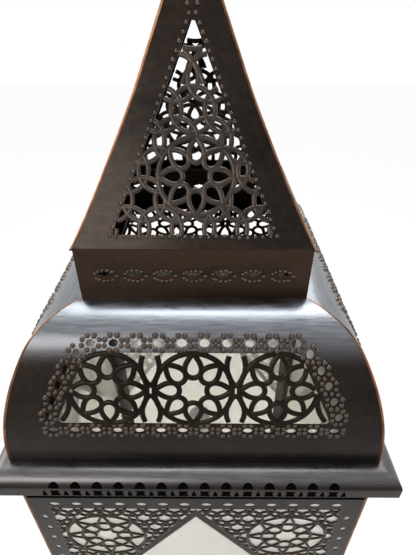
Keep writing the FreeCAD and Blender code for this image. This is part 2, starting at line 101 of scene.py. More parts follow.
class Section:
    """A sheet bent along a section curve; s runs down the curve from its top."""

    def __init__(self, outs, ups):
        self.outs, self.ups = np.asarray(outs, float), np.asarray(ups, float)
        steps = np.hypot(np.diff(self.outs), np.diff(self.ups))
        self.lengths = np.concatenate([[0], np.cumsum(steps)])
        self.total = self.lengths[-1]
        lean_out = np.gradient(self.outs, self.lengths)
        lean_up = np.gradient(self.ups, self.lengths)
        size = np.hypot(lean_out, lean_up)
        self.normal_out, self.normal_up = -lean_up / size, lean_out / size

    def half(self, s):
        return np.interp(s, self.lengths, self.outs)

    def height(self, s):
        return np.interp(s, self.lengths, self.ups)

    def at(self, x, s):
        x, s = np.broadcast_arrays(np.asarray(x, float), np.asarray(s, float))
        place = np.stack([x, -self.half(s), self.height(s)], -1)
        out = np.interp(s, self.lengths, self.normal_out)
        up = np.interp(s, self.lengths, self.normal_up)
        size = np.hypot(out, up)
        return place, np.stack([np.zeros_like(x), -out / size, up / size], -1)


def dome_section():
    """Two tangent arcs: a tight crown and a long flank, as the solids have them."""
    wide, high, crown = DOME_HALF - COLLAR_HALF, DOME_H, DOME_CROWN_R
    flank = (wide ** 2 + (high - crown) ** 2 - crown ** 2) / (2 * (wide - crown))
    lean = math.atan2(high - crown, flank - wide)
    a = np.linspace(math.pi / 2, lean, 40)
    b = np.linspace(lean, 0, 60)[1:]
    outs = np.concatenate([crown * np.cos(a), wide - flank + flank * np.cos(b)])
    ups = np.concatenate([high - crown + crown * np.sin(a), flank * np.sin(b)])
    return Section(COLLAR_HALF + outs, Z_DOME + ups)


def spire_section():
    """Flats between the spire's bends."""
    ups = np.linspace(SPIRE_H, 0, 80)
    outs = np.interp(ups, [b[0] for b in SPIRE_BENDS], [b[1] for b in SPIRE_BENDS])
    return Section(outs, Z_SPIRE + ups)


def cornice_section():
    """Ledge, quarter round and upright lip."""
    depth, rise = CORNICE_HALF - CORNICE_IN, CORNICE_H - CORNICE_LIP
    a = np.linspace(math.pi / 2, 0, 24)
    outs = np.concatenate([[DOME_HALF - 1.0], CORNICE_IN + depth * np.cos(a), [CORNICE_HALF] * 6])
    lip = CORNICE_LIP * np.linspace(LIP_START, 0, 6)
    ups = np.concatenate([[CORNICE_H], CORNICE_LIP + rise * np.sin(a), lip])
    return Section(outs, Z_CORNICE + ups)


DOME, SPIRE, CORNICE = dome_section(), spire_section(), cornice_section()
SPANDREL = Flat(BODY_HALF, Z_CORNICE)


# ---- meshes ---------------------------------------------------------------
ON_EDGE = 1e-3
# the section of a strip: share of its half width, and share of its rise
STRIP_SECTION = ((-0.9, 0.35), (-0.5, 0.85), (0.0, 1.0), (0.5, 0.85), (0.9, 0.35))
BEAD_RINGS = [(math.cos(e), math.sin(e)) for e in (0.0, 0.55, 1.05)]
BEAD_SIDES = 8
BEAD_TALL = 0.75
BEAD_SIZES = (0.88, 1.12)
BEAD_WANDER = 0.4
SMOOTH_BELOW = 40


class Build:
    """Collects vertices and faces in millimetres for one piece."""

    def __init__(self):
        self.verts, self.faces, self.count = [], [], 0

    def add(self, verts, faces):
        verts = np.asarray(verts, float).reshape(-1, 3)
        self.verts.append(verts)
        self.faces += [tuple(int(i) + self.count for i in f) for f in faces]
        self.count += len(verts)

    def piece(self, name, material, side=0, body="lantern", slot="antique_bronze", stands_for=()):
        mesh = bpy.data.meshes.new(name)
        verts = np.concatenate(self.verts) * MM
        mesh.from_pydata(verts.tolist(), [], self.faces)
        mesh.transform(Matrix.Rotation(math.radians(90 * side), 4, "Z"))
        mesh.materials.append(material)
        mesh.validate()
        mesh.shade_smooth()
        mesh.set_sharp_from_angle(angle=math.radians(SMOOTH_BELOW))
        obj = bpy.data.objects.new(name, mesh)
        bpy.context.scene.collection.objects.link(obj)
        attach(obj, body)
        if stands_for:
            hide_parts(*stands_for)
        return obj


def pierced_sheet(build, surface, field, x_range, s_range, step, thick=SHEET):
    """The part of a surface where field(x, s) is below 0, as a sheet with thickness."""
    nx = max(2, round((x_range[1] - x_range[0]) / step) + 1)
    ns = max(2, round((s_range[1] - s_range[0]) / step) + 1)
    xs, ss = np.linspace(*x_range, nx), np.linspace(*s_range, ns)
    gx, gs = np.meshgrid(xs, ss)
    value = field(gx, gs)
    value = np.where(np.abs(value) < ON_EDGE, ON_EDGE, value)
    points, index = [], {}

    def corner(i, j):
        key = (i, j)
        if key not in index:
            index[key] = len(points)
            points.append((xs[j], ss[i]))
        return index[key]

    def crossing(i, j, k, m):
        key = (i, j, k, m) if (i, j) < (k, m) else (k, m, i, j)
        if key not in index:
            a, b = value[i, j], value[k, m]
            t = a / (a - b)
            index[key] = len(points)
            points.append((xs[j] + (xs[m] - xs[j]) * t, ss[i] + (ss[k] - ss[i]) * t))
        return index[key]

    polygons = []
    lowest = np.minimum.reduce([value[:-1, :-1], value[1:, :-1], value[:-1, 1:], value[1:, 1:]])
    for i, j in zip(*np.nonzero(lowest < 0)):
        ring = ((i, j), (i, j + 1), (i + 1, j + 1), (i + 1, j))
        shape = []
        for a, b in zip(ring, ring[1:] + ring[:1]):
            if value[a] < 0:
                shape.append(corner(*a))
            if (value[a] < 0) != (value[b] < 0):
                shape.append(crossing(*a, *b))
        if len(shape) > 2:
            polygons.append(shape)
    points = np.array(points)
    place, normal = surface.at(points[:, 0], points[:, 1])
    count = len(points)
    rims = {}  # the edges that only one cell has, in the order they were met
    for shape in polygons:
        for a, b in zip(shape, shape[1:] + shape[:1]):
            if (b, a) in rims:
                del rims[(b, a)]
            else:
                rims[(a, b)] = True
    faces = polygons + [[count + v for v in reversed(shape)] for shape in polygons]
    faces += [(b, a, count + a, count + b) for a, b in rims]
    build.add(np.concatenate([place, place - normal * thick]), faces)


def strip(build, surface, path, width, rise, closed=False, sunk=0.6):
    """A rounded strip of metal that follows a path of (x, s) places on a surface."""
    path = np.asarray(path, float)
    if closed:
        ahead, behind = np.roll(path, -1, 0), np.roll(path, 1, 0)
    else:
        ahead = np.concatenate([path[1:], path[-1:]])
        behind = np.concatenate([path[:1], path[:-1]])
    way = ahead - behind
    way /= np.maximum(np.hypot(way[:, 0], way[:, 1]), 1e-9)[:, None]
    across = np.stack([-way[:, 1], way[:, 0]], -1)
    crest = [(offset, share * rise) for offset, share in STRIP_SECTION]
    profile = [(-1.0, -sunk)] + crest + [(1.0, -sunk)]
    rows = []
    for offset, lift in profile:
        p = path + across * offset * width / 2
        place, normal = surface.at(p[:, 0], p[:, 1])
        rows.append(place + normal * lift)
    n, m = len(path), len(profile)
    verts = np.stack(rows, 1).reshape(-1, 3)
    faces = []
    for i in range(n if closed else n - 1):
        k = (i + 1) % n
        for j in range(m):
            q = (j + 1) % m
            faces.append((i * m + j, k * m + j, k * m + q, i * m + q))
    if not closed:
        faces += [tuple(range(m)), tuple((n - 1) * m + j for j in reversed(range(m)))]
    build.add(verts, faces)


def bead(build, surface, x, s, radius):
    """A punched bead standing on a surface."""
    place, normal = surface.at(x, s)
    place, normal = Vector(place), Vector(normal)
    side = Vector((1, 0, 0))
    up = normal.cross(side)
    verts = []
    for wide, high in BEAD_RINGS:
        for k in range(BEAD_SIDES):
            a = 2 * math.pi * k / BEAD_SIDES
            verts.append(place + radius * (wide * (math.cos(a) * side + math.sin(a) * up)
                                           + BEAD_TALL * high * normal))
    verts.append(place + normal * radius * BEAD_TALL)
    faces = []
    for ring in range(len(BEAD_RINGS) - 1):
        low, high = ring * BEAD_SIDES, (ring + 1) * BEAD_SIDES
        for k in range(BEAD_SIDES):
            n = (k + 1) % BEAD_SIDES
            faces.append((low + k, low + n, high + n, high + k))
    top = (len(BEAD_RINGS) - 1) * BEAD_SIDES
    faces += [(top + k, top + (k + 1) % BEAD_SIDES, len(verts) - 1) for k in range(BEAD_SIDES)]
    build.add([tuple(v) for v in verts], faces)


# ---- pattern paths ----------------------------------------------------------
ARC_STEP = 3.0
DEGREES_IN_RADIAN = 57.3
PETALS, FIRST_PETAL = 8, 90.0
ROW_SHARE = 0.87
CLIP_MARGIN = 0.5


def circle(cx, cs, r):
    """A path once round a circle, with its first point again at its end."""
    count = max(6, int(360 * r / ARC_STEP / DEGREES_IN_RADIAN) + 2)
    a = np.radians(np.linspace(0, 360, count))
    return np.stack([cx + r * np.cos(a), cs + r * np.sin(a)], -1)


def axes(degrees):
    """Unit vectors along a direction and across it."""
    a = math.radians(degrees)
    return np.array([math.cos(a), math.sin(a)]), np.array([-math.sin(a), math.cos(a)])


def spread(count, pitch):
    """Places at one pitch, as many on each side of nought."""
    return [(k - (count - 1) / 2) * pitch for k in range(count)]


def bowed(a, b, bow, count=9):
    """A path from a to b that bows to its left by bow."""
    a, b = np.asarray(a, float), np.asarray(b, float)
    t = np.linspace(0, 1, count)[:, None]
    way = b - a
    left = np.array([-way[1], way[0]]) / np.hypot(*way)
    return a + way * t + left * bow * 4 * t * (1 - t)


def rosette_paths(cx, cs, outer, eye, petal):
    """A ring and eight petals, each round where it meets the eye and pointed at the ring."""
    paths = [(circle(cx, cs, outer)[:-1], True)]
    waist = eye + petal
    t = np.linspace(0, 1, 7)
    nose = np.stack([waist - petal * np.cos(t * math.pi / 2), petal * np.sin(t * math.pi / 2)], -1)
    flank = np.stack([waist + (outer - waist) * t, petal * np.cos(t * math.pi / 2)], -1)
    half = np.concatenate([nose, flank[1:]])
    whole = np.concatenate([half[::-1] * [1, -1], half[1:]])
    for k in range(PETALS):
        along, across = axes(360 / PETALS * k + FIRST_PETAL)
        turned = np.outer(whole[:, 0], along) + np.outer(whole[:, 1], across)
        paths.append((np.array([cx, cs]) + turned, False))
    return paths


def lens(a, b, bow):
    """Two bowed strips from a to b that make a pointed hole between them."""
    return [(bowed(a, b, bow), False), (bowed(a, b, -bow), False)]


def linked(x_range, s_range, pitch, radius):
    """Circles that overlap their neighbours in staggered rows."""
    paths = []
    rows = int((s_range[1] - s_range[0]) / (pitch * ROW_SHARE)) + 1
    for row in range(rows):
        s = s_range[1] - row * pitch * ROW_SHARE
        x = x_range[0] + (pitch / 2 if row % 2 else 0.0)
        while x <= x_range[1]:
            paths.append((circle(x, s, radius)[:-1], True))
            x += pitch
    return paths


def beyond(window, places, s, radius):
    """A window less a disc at each place."""
    def field(gx, gs):
        value = window(gx, gs)
        for place in places:
            value = np.maximum(value, radius - np.hypot(gx - place, gs - s))
        return value
    return field


def oval(gx, gs, x, s, wide, high):
    """Signed distance to a small oval hole, roughly."""
    reach = np.sqrt(((gx - x) / (wide / 2)) ** 2 + ((gs - s) / (high / 2)) ** 2)
    return (reach - 1) * min(wide, high) / 2


def trapezoid(gx, gs, s0, half0, s1, half1, corner):
    """Signed distance to a region from level s0, half0 to each side, to level s1 and half1."""
    slope = (half1 - half0) / (s1 - s0)
    side = (np.abs(gx) - (half0 + slope * (gs - s0)) + corner) / math.hypot(1, slope)
    ends = np.abs(gs - (s0 + s1) / 2) - (s1 - s0) / 2 + corner
    both = np.maximum(side, ends)
    return np.where((side > 0) & (ends > 0), np.hypot(side, ends), both) - corner


def bead_ring(spots, x, s, wide, high, count, start=0.0):
    """Adds the places of beads round an oval; the first stands at start degrees."""
    for k in range(count):
        a = math.radians(start) + 2 * math.pi * k / count
        spots.append((x + (wide / 2) * math.cos(a), s + (high / 2) * math.sin(a)))


def stud(build, surface, spots, radius, apart):
    """Beads at the spots, leaving out any that would crowd an earlier one."""
    kept = []
    for x, s in spots:
        if all((x - a) ** 2 + (s - b) ** 2 > apart ** 2 for a, b in kept):
            kept.append((x, s))
    for x, s in kept:
        size = radius * rng.uniform(*BEAD_SIZES)
        x += rng.uniform(-BEAD_WANDER, BEAD_WANDER)
        s += rng.uniform(-BEAD_WANDER, BEAD_WANDER)
        bead(build, surface, x, s, size)


# ---- camera, floor and light --------------------------------------------------
FOCAL_PIXELS, IMAGE_LONG, SENSOR = 410.7, 555.0, 36.0
PITCH, YAW, ROLL = 34.30, -0.27, 0.07
CAMERA_PLACE = (16.4, -470.1, Z_SPIRE + 205.1)

FLOOR_SIZE, FLOOR_GREY, FLOOR_ROUGH = 14, 0.86, 0.9
FLOOR_SEEN_WHITE = 0.95  # the rest shows the lamp's shadow
ROOM_COLOUR, ROOM_STRENGTH = (0.92, 0.95, 1.0, 1), 0.55
WHITE = (1, 1, 1, 1)


def make_camera():
    data = bpy.data.cameras.new("camera")
    data.sensor_width, data.sensor_fit = SENSOR, "AUTO"
    data.lens = SENSOR * FOCAL_PIXELS / IMAGE_LONG
    data.clip_start = 0.01
    cam = bpy.data.objects.new("camera", data)
    bpy.context.scene.collection.objects.link(cam)
    p, y = math.radians(PITCH), math.radians(YAW)
    ahead = Vector((math.sin(y) * math.cos(p), math.cos(y) * math.cos(p), -math.sin(p)))
    right = Vector((math.cos(y), -math.sin(y), 0))
    up = right.cross(ahead)
    turn = Matrix((right, up, -ahead)).transposed() @ Matrix.Rotation(math.radians(ROLL), 3, "Z")
    cam.matrix_world = Matrix.Translation(Vector(CAMERA_PLACE) * MM) @ turn.to_4x4()
    bpy.context.scene.camera = cam


def nodes_of(material):
    material.use_nodes = True
    tree = material.node_tree
    tree.nodes.clear()
    return tree, tree.nodes.new("ShaderNodeOutputMaterial")


def looked_at(tree):
    """One for rays from the camera, from mirrors and through glass, and nought for the rest."""
    path = tree.nodes.new("ShaderNodeLightPath")
    most = path.outputs["Is Camera Ray"]
    for name in ("Is Glossy Ray", "Is Transmission Ray"):
        node = tree.nodes.new("ShaderNodeMath")
        node.operation = "MAXIMUM"
        tree.links.new(most, node.inputs[0])
        tree.links.new(path.outputs[name], node.inputs[1])
        most = node.outputs[0]
    return most


def make_stage():
    """A pale floor, white to the camera, metal and glass but for the shadow."""
    bpy.ops.mesh.primitive_plane_add(size=FLOOR_SIZE, location=(0, 0, 0))
    floor = bpy.context.object
    floor.name = "stage_floor"
    material = bpy.data.materials.new("pale_floor")
    tree, out = nodes_of(material)
    paint = tree.nodes.new("ShaderNodeBsdfPrincipled")
    paint.inputs["Base Color"].default_value = (FLOOR_GREY, FLOOR_GREY, FLOOR_GREY, 1)
    paint.inputs["Roughness"].default_value = FLOOR_ROUGH
    white = tree.nodes.new("ShaderNodeEmission")
    white.inputs["Color"].default_value = WHITE
    white.inputs["Strength"].default_value = 1.0
    seen = tree.nodes.new("ShaderNodeMath")
    seen.operation = "MULTIPLY"
    seen.inputs[1].default_value = FLOOR_SEEN_WHITE
    tree.links.new(looked_at(tree), seen.inputs[0])
    mix = tree.nodes.new("ShaderNodeMixShader")
    tree.links.new(seen.outputs[0], mix.inputs[0])
    tree.links.new(paint.outputs[0], mix.inputs[1])
    tree.links.new(white.outputs[0], mix.inputs[2])
    tree.links.new(mix.outputs[0], out.inputs[0])
    floor.data.materials.append(material)


def make_world():
    """Soft light on the lamp, and white where the camera, metal or glass sees the room."""
    world = bpy.data.worlds.new("studio")
    bpy.context.scene.world = world
    world.use_nodes = True
    tree = world.node_tree
    tree.nodes.clear()
    out = tree.nodes.new("ShaderNodeOutputWorld")
    soft, white = tree.nodes.new("ShaderNodeBackground"), tree.nodes.new("ShaderNodeBackground")
    soft.inputs["Color"].default_value = ROOM_COLOUR
    soft.inputs["Strength"].default_value = ROOM_STRENGTH
    white.inputs["Color"].default_value = WHITE
    white.inputs["Strength"].default_value = 1.0
    mix = tree.nodes.new("ShaderNodeMixShader")
    tree.links.new(looked_at(tree), mix.inputs[0])
    tree.links.new(soft.outputs[0], mix.inputs[1])
    tree.links.new(white.outputs[0], mix.inputs[2])
    tree.links.new(mix.outputs[0], out.inputs[0])


# name, place, what it faces, size, power in watts and colour
LIGHTS = (
    ("overhead", (0, 0.42, 2.5), (0, 0.0, 0.9), (1.3, 0.9), 38, (0.95, 0.98, 1.0)),
    ("key_front", (-0.9, -1.9, 1.9), (0, 0, 0.9), (1.2, 1.0), 19, (1.0, 0.98, 0.95)),
    ("fill_right", (2.2, -0.6, 1.5), (0, 0, 0.9), (0.8, 1.8), 16, (0.95, 0.97, 1.0)),
    ("rim_left", (-2.2, 0.6, 1.7), (0, 0, 1.0), (0.8, 1.6), 18, (1.0, 0.97, 0.94)),
    ("back", (0.4, 2.4, 2.0), (0, 0, 0.8), (2.0, 1.4), 34, (1, 1, 1)),
)


def area_light(name, place, target, size, power, colour):
    data = bpy.data.lights.new(name, "AREA")
    data.shape, data.size, data.size_y = "RECTANGLE", size[0], size[1]
    data.energy, data.color = power, colour
    obj = bpy.data.objects.new(name, data)
    bpy.context.scene.collection.objects.link(obj)
    way = Vector(target) - Vector(place)
    obj.location = place
    obj.rotation_euler = way.to_track_quat("-Z", "Y").to_euler()


# ---- materials ---------------------------------------------------------------
class Shade:
    """A few words for building a material's nodes."""

    def __init__(self, name):
        self.material = bpy.data.materials.new(name)
        self.tree, self.out = nodes_of(self.material)
        self.main = self.new("ShaderNodeBsdfPrincipled")
        self.link(self.main.outputs[0], self.out.inputs[0])
        self.where = self.new("ShaderNodeTexCoord").outputs["Object"]

    def new(self, kind, **settings):
        node = self.tree.nodes.new(kind)
        for key, value in settings.items():
            setattr(node, key, value)
        return node

    def link(self, a, b):
        self.tree.links.new(a, b)

    def stretched(self, scale):
        node = self.new("ShaderNodeMapping")
        node.inputs["Scale"].default_value = scale
        self.link(self.where, node.inputs["Vector"])
        return node.outputs[0]

    def noise(self, scale, detail=4.0, rough=0.55, vector=None):
        node = self.new("ShaderNodeTexNoise")
        node.inputs["Scale"].default_value = scale
        node.inputs["Detail"].default_value = detail
        node.inputs["Roughness"].default_value = rough
        self.link(vector or self.where, node.inputs["Vector"])
        return node.outputs["Fac"]

    def ramp(self, factor, stops):
        node = self.new("ShaderNodeValToRGB")
        elements = node.color_ramp.elements
        while len(elements) < len(stops):
            elements.new(0.5)
        for element, (place, colour) in zip(elements, stops):
            element.position = place
            element.color = (*colour, 1) if len(colour) == 3 else colour
        self.link(factor, node.inputs["Fac"])
        return node.outputs["Color"]

    def grey(self, factor, stops):
        return self.ramp(factor, [(place, (v, v, v)) for place, v in stops])

    def mix(self, factor, a, b):
        node = self.new("ShaderNodeMix", data_type="RGBA", blend_type="MIX")
        for source, socket in ((factor, node.inputs[0]), (a, node.inputs[6]), (b, node.inputs[7])):
            if isinstance(source, tuple):
                socket.default_value = (*source, 1)
            elif isinstance(source, float):
                socket.default_value = source
            else:
                self.link(source, socket)
        return node.outputs[2]

    def band(self, low, high, streaks):
        """Nought below one level, one above another, broken up by streaks."""
        split = self.new("ShaderNodeSeparateXYZ")
        self.link(self.where, split.inputs[0])
        rise = self.new("ShaderNodeMapRange", interpolation_type="SMOOTHSTEP")
        rise.inputs["From Min"].default_value = low
        rise.inputs["From Max"].default_value = high
        self.link(split.outputs["Z"], rise.inputs["Value"])
        node = self.new("ShaderNodeMath", operation="MULTIPLY")
        self.link(rise.outputs[0], node.inputs[0])
        self.link(self.grey(streaks, [(0.2, 0.45), (0.7, 1.0)]), node.inputs[1])
        return node.outputs[0]

    def bump(self, height, strength, distance):
        node = self.new("ShaderNodeBump")
        node.inputs["Strength"].default_value = strength
        node.inputs["Distance"].default_value = distance
        self.link(height, node.inputs["Height"])
        self.link(node.outputs[0], self.main.inputs["Normal"])

    def set(self, **sockets):
        for key, value in sockets.items():
            self.main.inputs[key.replace("_", " ")].default_value = value


BRUSHED_ALONG = (1.0, 1.0, 22.0)
LIGHTER, DARKER, DARKEST = 1.25, 0.85, 0.7  # shares of a colour in its clouds
ROUGH_SPREAD = 0.06


def bronze(name, dark, mid, worn, rough, wear, coat, painted_sheen=None):
    """Dark patinated metal under a thin lacquer: cloudy, finely brushed and rubbed at its edges.

    The last argument gives a low and a high level in millimetres and the colour of a painted
    highlight above them, which stands in for the sheen of the lights.
    """
    s = Shade(name)
    s.set(Metallic=1.0, Coat_Weight=coat, Coat_Roughness=0.2)
    cloud = s.noise(scale=9.0, detail=6.0)
    fine = s.noise(scale=140.0, detail=3.0)
    brushed = s.noise(scale=30.0, detail=5.0, rough=0.7, vector=s.stretched(BRUSHED_ALONG))
    base = s.ramp(cloud, [(0.30, dark), (0.52, mid), (0.74, tuple(v * LIGHTER for v in mid))])
    base = s.mix(s.grey(fine, [(0.40, 0.0), (0.80, 0.07)]), base, worn)
    edge = s.new("ShaderNodeNewGeometry").outputs["Pointiness"]
    rubbed = s.grey(edge, [(0.50, 0.0), (0.56, wear)])
    base = s.mix(rubbed, base, worn)
    # painted highlight: above the given levels the colour turns pale, standing in for the sheen of
    # the lights
    if painted_sheen:
        low, high, colour = painted_sheen
        base = s.mix(s.band(low * MM, high * MM, brushed), base, colour)
    s.link(base, s.main.inputs["Base Color"])
    s.link(s.grey(brushed, [(0.3, rough[0]), (0.7, rough[1])]), s.main.inputs["Roughness"])
    s.bump(s.mix(0.35, brushed, fine), strength=0.22, distance=0.0006)
    return s.material


def copper():
    """Raw copper, darkened in patches."""
    s = Shade("raw_copper_edge")
    s.set(Metallic=1.0, Roughness=0.38)
    patches = s.noise(scale=60.0)
    s.link(s.ramp(patches, [(0.3, (0.13, 0.055, 0.028)), (0.7, (0.36, 0.17, 0.085))]),
           s.main.inputs["Base Color"])
    s.bump(s.noise(scale=300.0), strength=0.15, distance=0.0004)
    return s.material


def frosted():
    """Cream frosted glass that scatters the light of the room through the lantern."""
    s = Shade("frosted_cream_glass")
    s.set(Roughness=0.8, IOR=1.15, Transmission_Weight=0.55)
    cloud = s.ramp(s.noise(scale=5.0, detail=3.0),
                   [(0.3, (0.98, 0.95, 0.88)), (0.7, (1.0, 0.985, 0.94))])
    s.link(cloud, s.main.inputs["Base Color"])
    s.bump(s.noise(scale=900.0, detail=2.0), strength=0.08, distance=0.0003)
    return s.material


def matt(name, colour):
    """A surface without gloss."""
    s = Shade(name)
    s.set(Roughness=1.0, Specular_IOR_Level=0.0)
    s.link(s.ramp(s.noise(scale=60.0), [(0.3, tuple(v * DARKEST for v in colour)), (0.7, colour)]),
           s.main.inputs["Base Color"])
    return s.material


def plain(name, colour, rough, metallic=0.0):
    """One colour with a faint grain."""
    s = Shade(name)
    s.set(Metallic=metallic)
    s.link(s.ramp(s.noise(scale=80.0), [(0.3, tuple(v * DARKER for v in colour)), (0.7, colour)]),
           s.main.inputs["Base Color"])
    s.link(s.grey(s.noise(scale=160.0), [(0.3, rough - ROUGH_SPREAD), (0.7, rough + ROUGH_SPREAD)]),
           s.main.inputs["Roughness"])
    s.bump(s.noise(scale=480.0), strength=0.1, distance=0.0003)
    return s.material


bpy.context.scene.view_settings.view_transform = "Standard"
make_camera()
make_stage()
make_world()
for light in LIGHTS:
    area_light(*light)

# each bronze: dark, mid and worn colours, roughness from and to, wear at edges, lacquer, and the
# levels and colour of a painted highlight
DARK, BROWN, RUB = (0.004, 0.003, 0.0022), (0.013, 0.009, 0.0065), (0.16, 0.09, 0.06)
SHEET_METAL = bronze("antique_bronze_sheet", DARK, BROWN, RUB, (0.24, 0.42), 0.4, 0.2)
# the dome's upper shoulder gets a painted highlight: a cool grey band standing in for the sheen of
# the overhead light
DOME_METAL = bronze("antique_bronze_dome", DARK, BROWN, RUB, (0.24, 0.42), 0.4, 0.22,
                    (Z_DOME + 122, Z_DOME + DOME_H - 2, (0.23, 0.245, 0.27)))
# the cornice's top by the dome's foot gets a painted highlight: a pale grey band standing in for
# the sheen of the lights
CORNICE_METAL = bronze("antique_bronze_cornice", DARK, BROWN, RUB, (0.24, 0.40), 0.5, 0.12,
                       (Z_DOME - 13, Z_DOME - 2, (0.13, 0.125, 0.13)))
COLLAR_METAL = bronze("antique_bronze_collar", (0.003, 0.0022, 0.0016), (0.007, 0.0048, 0.003),
                      RUB, (0.26, 0.44), 0.2, 0.12)
# painted shade: a matt black that stands in for the shadow behind the cornice's slots
PAINTED_SHADE_BAND = matt("unlit_band", (0.004, 0.0035, 0.003))
ARCH_METAL = bronze("antique_bronze_lattice", DARK, (0.014, 0.010, 0.007),
                    (0.08, 0.052, 0.036), (0.28, 0.44), 0.4, 0.06)
FRET_METAL = bronze("antique_bronze_fret", (0.010, 0.0075, 0.006), (0.032, 0.023, 0.018),
                    (0.30, 0.22, 0.17), (0.24, 0.40), 0.5, 0.3)
BEAD_METAL = bronze("worn_bead_metal", (0.0196, 0.0133, 0.0088), (0.0390, 0.0258, 0.0173),
                    (0.2200, 0.1485, 0.0990), (0.16, 0.28), 0.06, 0.5)
# a pale silver metal for the strip along the cornice lip's foot and for the painted highlights
# under the cornice's holes
EDGE_METAL = bronze("pale_edge_and_painted_highlight_metal", (0.20, 0.19, 0.18), (0.34, 0.32, 0.30),
                    (0.55, 0.52, 0.50), (0.22, 0.40), 0.2, 0.2)
COPPER, GLASS = copper(), frosted()
STEEL = plain("blackened_steel", (0.16, 0.165, 0.16), 0.42, 0.8)
BRASS = plain("aged_brass", (0.42, 0.29, 0.13), 0.32, 1.0)
OPAL = plain("opal_bulb_glass", (0.90, 0.88, 0.80), 0.25)
BLACK = plain("black_gland_plastic", (0.02, 0.02, 0.02), 0.45)


# ---- dome --------------------------------------------------------------------
WINDOW_TOP, WINDOW_FOOT = 63.0, 144.0
WINDOW_TOP_HALF, WINDOW_FOOT_HALF, WINDOW_CORNER = 108.0, 144.0, 5.0
ROSETTE_S, ROSETTE_PITCH, ROSETTE_R, EYE_R, PETAL = 103.5, 87.5, 40.0, 14.0, 8.6
HEAD_HOLES, FOOT_HOLES, HOLE_PITCH, HEAD_ROW_S, FOOT_ROW_S = 10, 14, 23.0, 53.0, 153.0
SIDE_HOLES = ((118, 64), (130, 81), (138.5, 98), (145.5, 116), (152, 135))
LENS_GAP, LENS_REACH, LENS_BOW = 4, 8, 9.5
CORNER_LENS = (1.48, 1.62, 6)  # head and foot in pitches from the middle, and bow
SEAM_GAP = 0.9
GRID = 1.9


def dome_holes():
    """Places and sizes of the border's small holes: head row, sloping sides and foot row."""
    holes = [(x, HEAD_ROW_S, 10.0, 8.0) for x in spread(HEAD_HOLES, HOLE_PITCH)]
    for x, s in SIDE_HOLES:
        holes += [(-x, s, 7.5, 10.0), (x, s, 7.5, 10.0)]
    holes += [(x, FOOT_ROW_S, 10.0, 6.5) for x in spread(FOOT_HOLES, HOLE_PITCH)]
    return holes


def dome_window(gx, gs):
    return trapezoid(gx, gs, WINDOW_TOP, WINDOW_TOP_HALF, WINDOW_FOOT, WINDOW_FOOT_HALF,
                     WINDOW_CORNER)


def dome_field(gx, gs):
    value = np.maximum(np.abs(gx) - (DOME.half(gs) - SEAM_GAP), -dome_window(gx, gs))
    for x, s, wide, high in dome_holes():
        value = np.maximum(value, -oval(gx, gs, x, s, wide, high))
    return value


def clipped(path, window):
    """The runs of a path that lie inside a window."""
    inside = window(path[:, 0], path[:, 1]) < CLIP_MARGIN
    runs, run = [], []
    for point, keep in zip(path, inside):
        if keep:
            run.append(point)
        elif run:
            runs.append(run)
            run = []
    if run:
        runs.append(run)
    return [np.array(r) for r in runs if len(r) > 2]


def lay(build, surface, paths, window, width, rise):
    """Strips along the paths, as far as they lie inside a window."""
    for path, closed in paths:
        path = np.asarray(path)
        if closed and (window(path[:, 0], path[:, 1]) < CLIP_MARGIN).all():
            strip(build, surface, path, width, rise, closed=True)
            continue
        if closed:
            path = np.concatenate([path, path[:1]])
        for run in clipped(path, window):
            strip(build, surface, run, width, rise)


def dome_fret():
    """Three rosettes, pointed holes between them, and what shows of the next ones at the sides."""
    paths = []
    for k in (-1, 0, 1):
        paths += rosette_paths(k * ROSETTE_PITCH, ROSETTE_S, ROSETTE_R, EYE_R, PETAL)
    head, foot, bow = CORNER_LENS
    for sign in (-1, 1):
        paths.append((circle(sign * 2 * ROSETTE_PITCH, ROSETTE_S, ROSETTE_R), False))
        paths += lens((sign * head * ROSETTE_PITCH, ROSETTE_S),
                      (sign * foot * ROSETTE_PITCH, WINDOW_FOOT), bow)
    for k in (-0.5, 0.5):
        cx = k * ROSETTE_PITCH
        paths += lens((cx, ROSETTE_S - LENS_GAP), (cx, WINDOW_TOP - LENS_REACH), LENS_BOW)
        paths += lens((cx, ROSETTE_S + LENS_GAP), (cx, WINDOW_FOOT + LENS_REACH), LENS_BOW)
    return paths


def make_dome(k, side):
    sheet = Build()
    pierced_sheet(sheet, DOME, dome_field, (-DOME_HALF, DOME_HALF), (0.0, DOME.total), GRID)
    fret = Build()
    lay(fret, DOME, dome_fret(), dome_window, width=5.8, rise=1.6)
    fret.piece(f"dome_fret_{side}", ARCH_METAL, k)
    sheet.piece(f"dome_{side}", DOME_METAL, k, stands_for=(f"dome_panel_{side}",))
    beads, spots = Build(), []
    for x, s, wide, high in dome_holes():
        bead_ring(spots, x, s, wide + 8.5, high + 8.0, count=8, start=22.5)
    stud(beads, DOME, spots, radius=3.1, apart=4.6)
    beads.piece(f"dome_beads_{side}", BEAD_METAL, k)


# ---- spire -------------------------------------------------------------------
SPIRE_FOOT_S = SPIRE.total - 14.0
SPIRE_PEAK_S = SPIRE.total - 208.0
SPIRE_TOP_HALF, SPIRE_FOOT_HALF, SPIRE_CORNER = 2.0, 80.0, 1.0
SPIRE_MID, SPIRE_EYE_S = 3.0, SPIRE.total - 70.0
SPIRE_RING, SPIRE_EYE, SPIRE_PETAL = 37.0, 13.0, 7.6
BAR_S, CROSS_S = SPIRE.total - 186.0, SPIRE.total - 168.0
BAR_HALF, CROSS_HALF, CROSS_HIGH = 12, 10, 14
LINK_HALF, LINK_S, LINK_PITCH, LINK_R = 96, SPIRE.total - 20.0, 32.0, 21.0
EDGE_BEADS, EDGE_FOOT, EDGE_PEAK = 27, (82.0, SPIRE.total - 13.0), (3.0, SPIRE.total - 213.0)
FOOT_BEADS, FOOT_BEADS_HALF, FOOT_BEADS_S, FOOT_BEADS_STRAY = 21, 76, SPIRE.total - 12.0, 0.6
